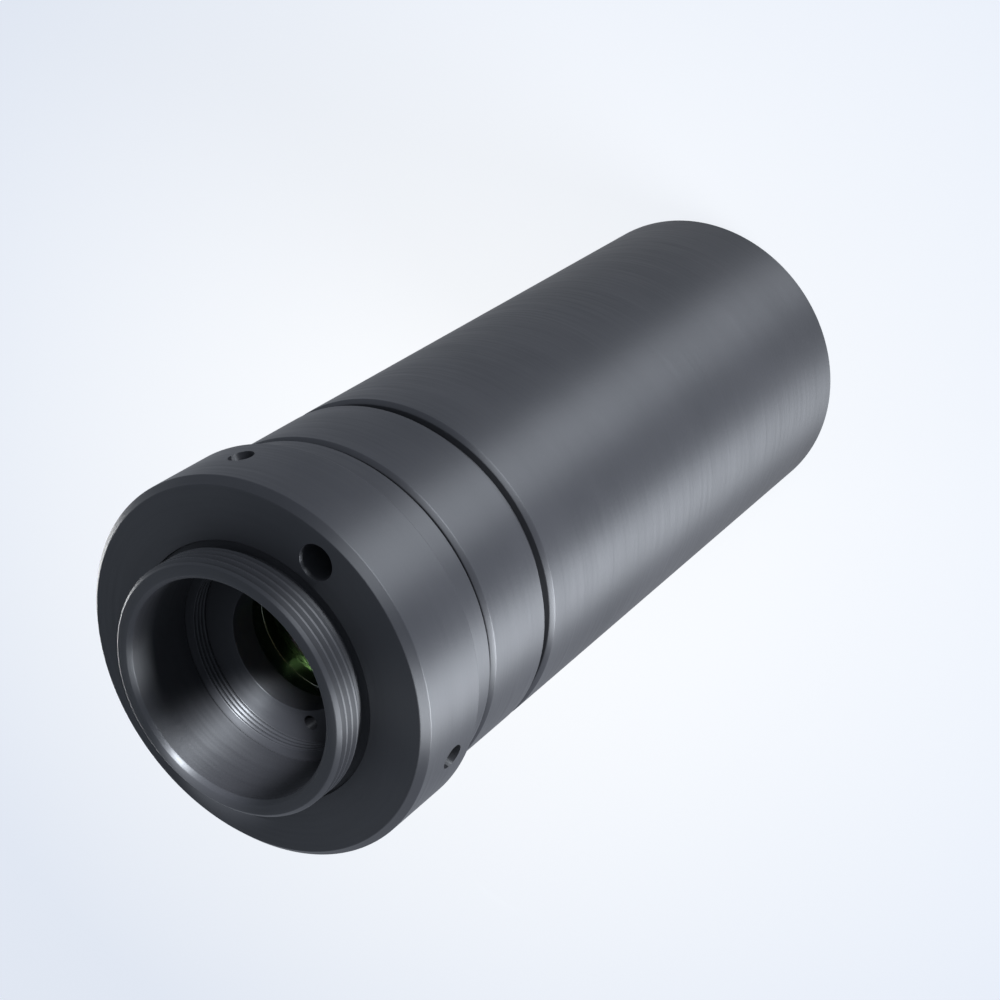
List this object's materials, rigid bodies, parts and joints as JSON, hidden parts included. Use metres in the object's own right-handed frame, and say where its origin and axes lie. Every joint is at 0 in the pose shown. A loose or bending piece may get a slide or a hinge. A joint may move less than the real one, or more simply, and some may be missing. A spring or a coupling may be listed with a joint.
{
  "type": "telecentric lens",
  "caption": "Black cylindrical telecentric machine-vision lens with a glass front, a slotted front ring and a turning camera mount with a short male thread.",
  "frame": {"origin": "centre of the front rim's plane, at the bottom centre of the part, which stands on its front rim", "axes": "+Z along the optical axis from the front glass to the camera; the index hole lies towards -Y"},
  "size_m": [0.038, 0.038, 0.0937],
  "materials": {
    "black_anodised": "matt black anodised, turned",
    "coated_glass": "polished, anti-reflection coated",
    "blackened_steel": "black oxide"
  },
  "bodies": {
    "barrel": {"front_barrel": "black_anodised", "front_retaining_ring": "black_anodised", "front_crown_element": "coated_glass", "front_flint_element": "coated_glass", "front_spacer": "black_anodised", "collector_element": "coated_glass", "baffle_sleeve": "black_anodised", "rear_barrel": "black_anodised", "aperture_stop": "black_anodised", "stop_spacer": "black_anodised", "relay_element": "coated_glass", "rear_spacer": "black_anodised", "rear_crown_element": "coated_glass", "rear_flint_element": "coated_glass", "rear_retaining_ring": "black_anodised"},
    "mount": {"camera_mount_ring": "black_anodised", "mount_set_screw_1": "blackened_steel", "mount_set_screw_2": "blackened_steel", "mount_set_screw_3": "blackened_steel"}
  },
  "joints": [
    {"name": "mount_rotation", "type": "hinge", "parent": "barrel", "child": "mount", "pos_m": [0, 0, 0.0844], "axis": [0, 0, 1], "continuous": true}
  ]
}
